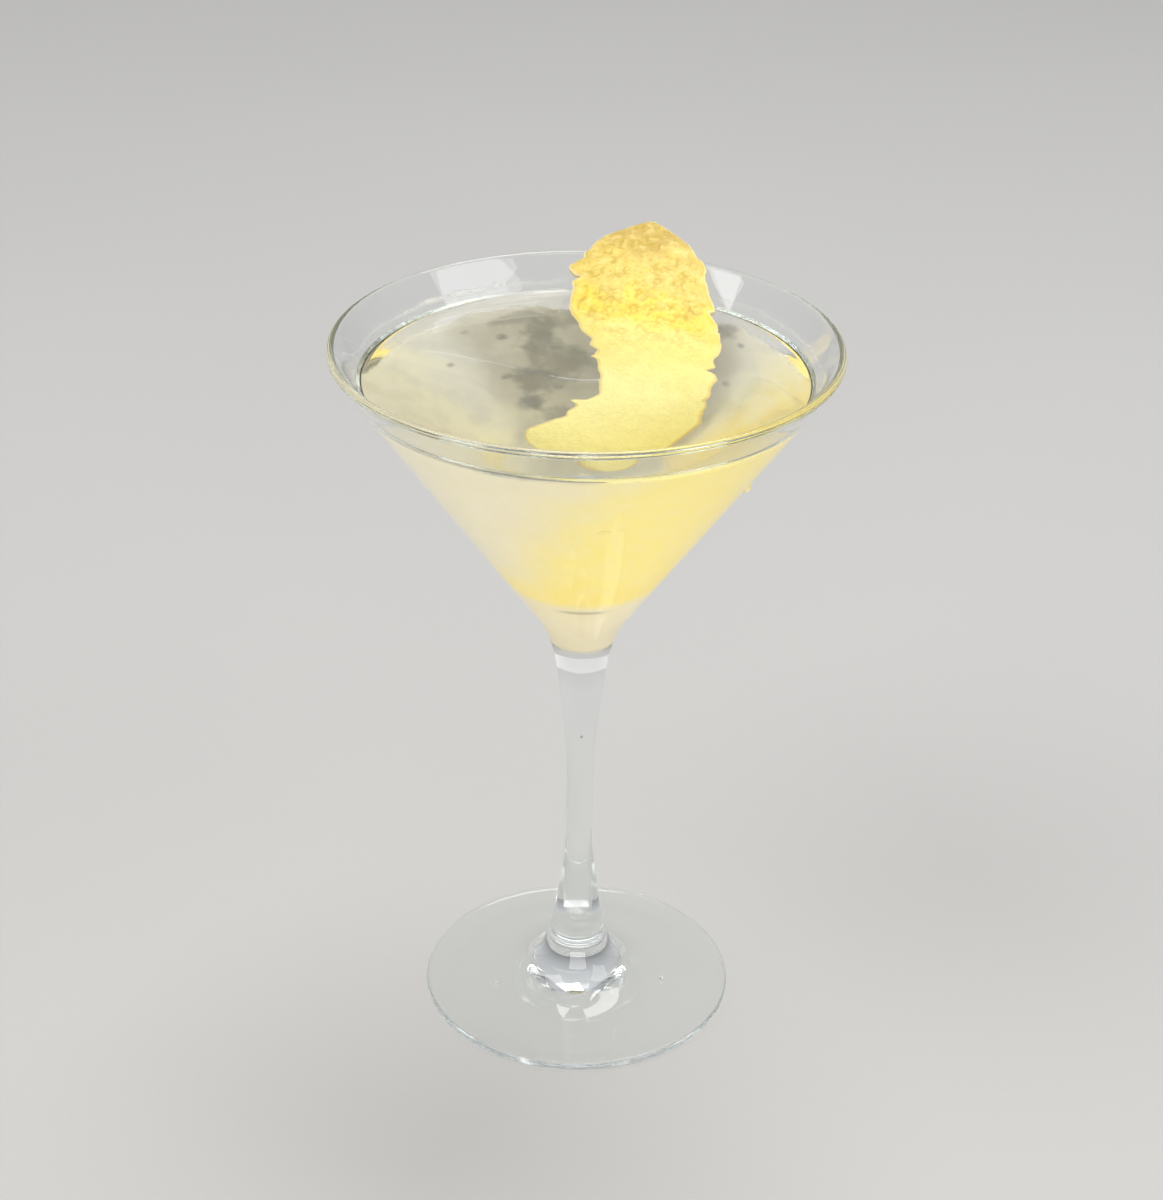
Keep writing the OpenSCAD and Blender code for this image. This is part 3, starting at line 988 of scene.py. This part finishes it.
floor = new_object("stage_floor", *lathe([(r, 0.0) for r in FLOOR_RINGS], 64), floor_material())
floor.data.flip_normals()
floor.location.z = -FLOOR_DROP


def studio_world(horizon, zenith, top_at, strength):
    """A plain gradient from the horizon up."""
    world = bpy.data.worlds.new("studio")
    bpy.context.scene.world = world
    world.use_nodes = True
    tree = world.node_tree
    tree.nodes.clear()
    out = tree.nodes.new("ShaderNodeOutputWorld")
    sky = tree.nodes.new("ShaderNodeBackground")
    ramp = tree.nodes.new("ShaderNodeValToRGB")
    coords = tree.nodes.new("ShaderNodeTexCoord")
    split = tree.nodes.new("ShaderNodeSeparateXYZ")
    tree.links.new(coords.outputs["Generated"], split.inputs[0])
    tree.links.new(split.outputs["Z"], ramp.inputs[0])
    tree.links.new(ramp.outputs[0], sky.inputs["Color"])
    tree.links.new(sky.outputs[0], out.inputs["Surface"])
    for element, position, colour in zip(ramp.color_ramp.elements, (0.0, top_at), (horizon, zenith)):
        element.position = position
        element.color = (*colour, 1)
    sky.inputs["Strength"].default_value = strength


def softbox(name, position, width, height, power, colour=(1, 1, 1)):
    lamp = bpy.data.lights.new(name, "AREA")
    lamp.shape = "RECTANGLE"
    lamp.size, lamp.size_y = width, height
    lamp.energy = power
    lamp.color = colour
    obj = bpy.data.objects.new(name, lamp)
    obj.location = position
    aim = LAMP_TARGET - Vector(position)
    obj.rotation_euler = aim.to_track_quat("-Z", "Y").to_euler()
    bpy.context.scene.collection.objects.link(obj)


studio_world((0.24, 0.245, 0.255), (0.86, 0.87, 0.89), 0.9, 0.85)
# no lamp stands where the drink's surface or the foot would mirror it to the camera
softbox("key_light", (-0.75, -0.35, 1.15), 0.8, 0.8, 6.4, (1.0, 0.985, 0.96))
softbox("fill_light", (1.0, -0.5, 0.8), 0.8, 0.8, 5.0, (0.97, 0.985, 1.0))
softbox("top_light", (0.2, 0.45, 1.35), 0.8, 0.6, 7.6, (1.0, 0.99, 0.97))
softbox("front_light", (0.1, -2.2, 0.6), 2.0, 1.0, 28.0)

# Camera: 0.50 m in front of the glass's axis and 0.38 m above the table, looking down at it
CAMERA_BACK, CAMERA_UP = 0.4987, 0.3767
PITCH, YAW, ROLL = math.radians(28.68), math.radians(-0.029), math.radians(-0.90)
SENSOR, LENS = 36, 76.47


def photo_camera():
    level_right = Vector((math.cos(YAW), -math.sin(YAW), 0))
    level_ahead = Vector((math.sin(YAW), math.cos(YAW), 0))
    ahead = level_ahead * math.cos(PITCH) - Vector((0, 0, 1)) * math.sin(PITCH)
    level_up = level_right.cross(ahead)
    right = level_right * math.cos(ROLL) - level_up * math.sin(ROLL)
    up = level_right * math.sin(ROLL) + level_up * math.cos(ROLL)
    data = bpy.data.cameras.new("camera")
    data.sensor_width = SENSOR
    data.lens = LENS
    data.clip_start = 0.01
    data.clip_end = 50
    camera = bpy.data.objects.new("camera", data)
    bpy.context.scene.collection.objects.link(camera)
    camera.matrix_world = Matrix((
        (right.x, up.x, -ahead.x, 0), (right.y, up.y, -ahead.y, -CAMERA_BACK),
        (right.z, up.z, -ahead.z, CAMERA_UP), (0, 0, 0, 1),
    ))
    return camera


bpy.context.scene.camera = photo_camera()
bpy.context.scene.view_settings.view_transform = "Standard"
bpy.context.scene.view_settings.look = "None"
cycles = bpy.context.scene.cycles
# light runs a long way inside the wall of the glass before it comes out
cycles.max_bounces = 96
cycles.transmission_bounces = 96
cycles.glossy_bounces = 96
cycles.transparent_max_bounces = 32

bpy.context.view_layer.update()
